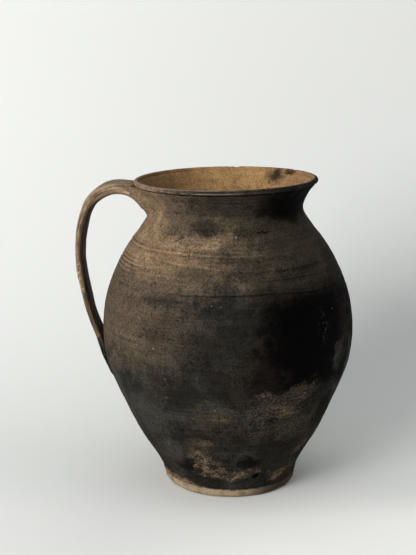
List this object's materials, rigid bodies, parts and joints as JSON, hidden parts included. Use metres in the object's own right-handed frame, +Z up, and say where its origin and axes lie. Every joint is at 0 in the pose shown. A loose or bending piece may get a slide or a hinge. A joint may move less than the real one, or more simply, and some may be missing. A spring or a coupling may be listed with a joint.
{
  "type": "clay jug",
  "caption": "Round-bellied clay jug with a flat foot, a flared mouth with a rolled lip, and a strap handle from lip to belly.",
  "frame": {"origin": "middle of the foot's flat underside", "axes": "+Z up along the pot's axis, which leans one degree towards the handle; -X towards the handle"},
  "size_m": [0.2427, 0.219, 0.2711],
  "materials": {
    "bare_clay": "unglazed pale clay, worn",
    "smoked_clay": "unglazed, smoked charcoal to brown, dull",
    "shoulder_clay": "unglazed, tan brown with scored lines",
    "neck_clay": "unglazed, grey brown, tan inside the mouth",
    "handle_clay": "unglazed, tan brown, rubbed"
  },
  "bodies": {
    "root": {"base_disc": "bare_clay", "belly_wall": "smoked_clay", "shoulder_wall": "shoulder_clay", "neck_and_rim": "neck_clay", "handle_strap": "handle_clay", "upper_handle_luting": "handle_clay", "lower_handle_luting": "smoked_clay"}
  },
  "joints": []
}
